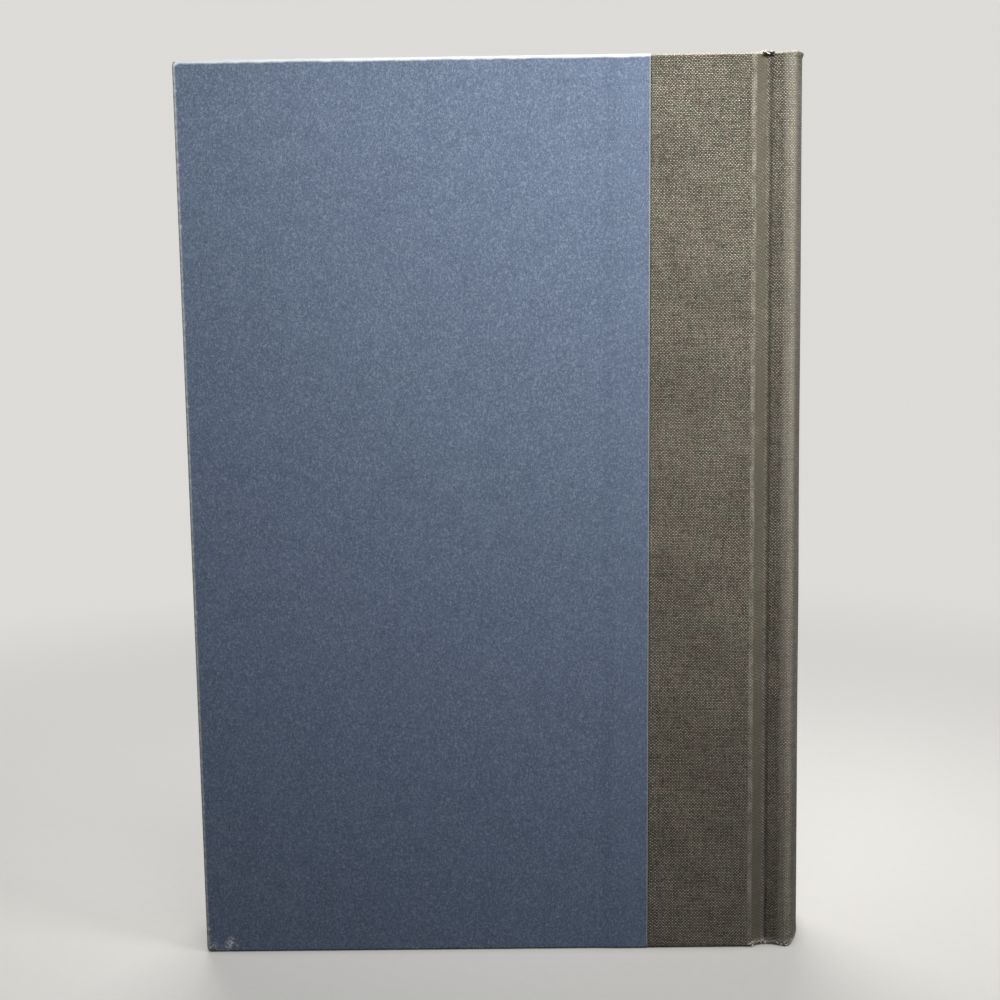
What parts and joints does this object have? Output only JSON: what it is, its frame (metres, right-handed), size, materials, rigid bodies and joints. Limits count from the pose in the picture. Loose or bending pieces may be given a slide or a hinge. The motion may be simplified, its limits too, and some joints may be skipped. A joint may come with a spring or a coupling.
{
  "type": "hardback book",
  "caption": "Closed quarter-bound hardback book standing on its tail, with a rounded cloth spine, French grooves, paper sides and two covers that open",
  "frame": {"origin": "bottom centre of the closed book, on the surface that it stands on", "axes": "X from the fore-edge to the spine, Y from the back cover to the front cover, Z from tail to head"},
  "size_m": [0.1642, 0.0334, 0.242],
  "materials": {
    "pages": "matte",
    "endpaper": "matte",
    "cover_paper": "matte",
    "book_cloth": "matte",
    "board": "matte",
    "mull": "matte",
    "spine_lining": "matte",
    "band": "matte"
  },
  "bodies": {
    "book_block": {"text_block": "pages", "front_flyleaf": "endpaper", "back_flyleaf": "endpaper", "spine_mull": "mull", "spine_lining": "spine_lining", "headband": "band", "tailband": "band", "spine_strip": "board", "spine_cloth": "book_cloth"},
    "front_cover": {"front_board": "board", "front_cover_paper": "cover_paper", "front_cloth_flap": "book_cloth", "front_mull_flap": "mull", "front_pastedown": "endpaper"},
    "back_cover": {"back_board": "board", "back_cover_paper": "cover_paper", "back_cloth_flap": "book_cloth", "back_mull_flap": "mull", "back_pastedown": "endpaper"}
  },
  "joints": [
    {"name": "front_cover_hinge", "type": "hinge", "parent": "book_block", "child": "front_cover", "pos_m": [0.07253, 0.01645, 0.121], "axis": [0, 0, -1], "range_deg": [0, 180]},
    {"name": "back_cover_hinge", "type": "hinge", "parent": "book_block", "child": "back_cover", "pos_m": [0.07253, -0.01645, 0.121], "axis": [0, 0, 1], "range_deg": [0, 180]}
  ]
}
